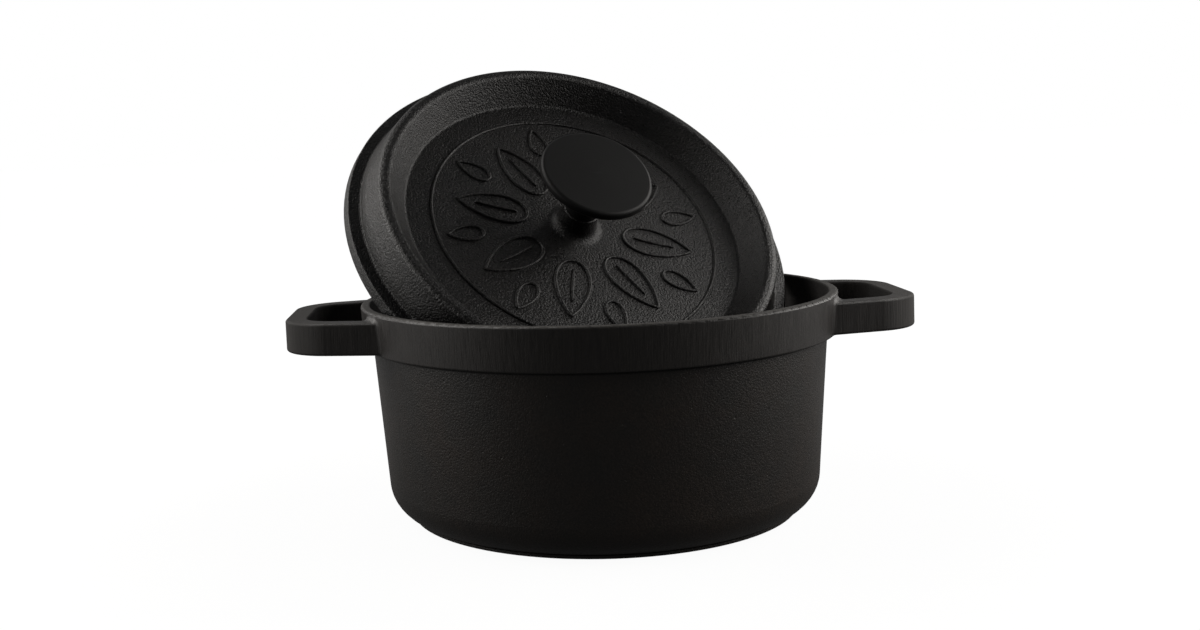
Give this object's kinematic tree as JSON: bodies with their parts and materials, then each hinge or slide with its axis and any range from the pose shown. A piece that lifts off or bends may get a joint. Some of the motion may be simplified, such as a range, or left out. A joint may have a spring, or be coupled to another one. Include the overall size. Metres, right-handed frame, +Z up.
{
  "type": "cast iron casserole pan",
  "caption": "Round black cast-iron casserole pan for barbecue or stove, with loop handles and a flanged lid with a disc knob leaning in its mouth.",
  "frame": {"origin": "centre of the pan's flat foot, where it stands", "axes": "+X along the two handles, +Z up, -Y towards the side that the leaning lid shows its top to"},
  "size_m": [0.325, 0.2498, 0.2351],
  "materials": {
    "pot_iron": "matt black oil-seasoned, sand cast",
    "lid_iron": "matt black oil-seasoned, sand cast",
    "knob_black": "smooth satin black, turned and coated",
    "fastener_steel": "plain stainless"
  },
  "bodies": {
    "pan": {"pot": "pot_iron"},
    "lid": {"lid": "lid_iron", "knob": "knob_black", "flat_washer": "fastener_steel", "spring_washer": "fastener_steel", "knob_screw": "fastener_steel"}
  },
  "joints": [
    {"name": "lid_lift", "type": "slide", "parent": "pan", "child": "lid", "axis": [0, 0, 1], "range_m": [0, 0.16]}
  ]
}
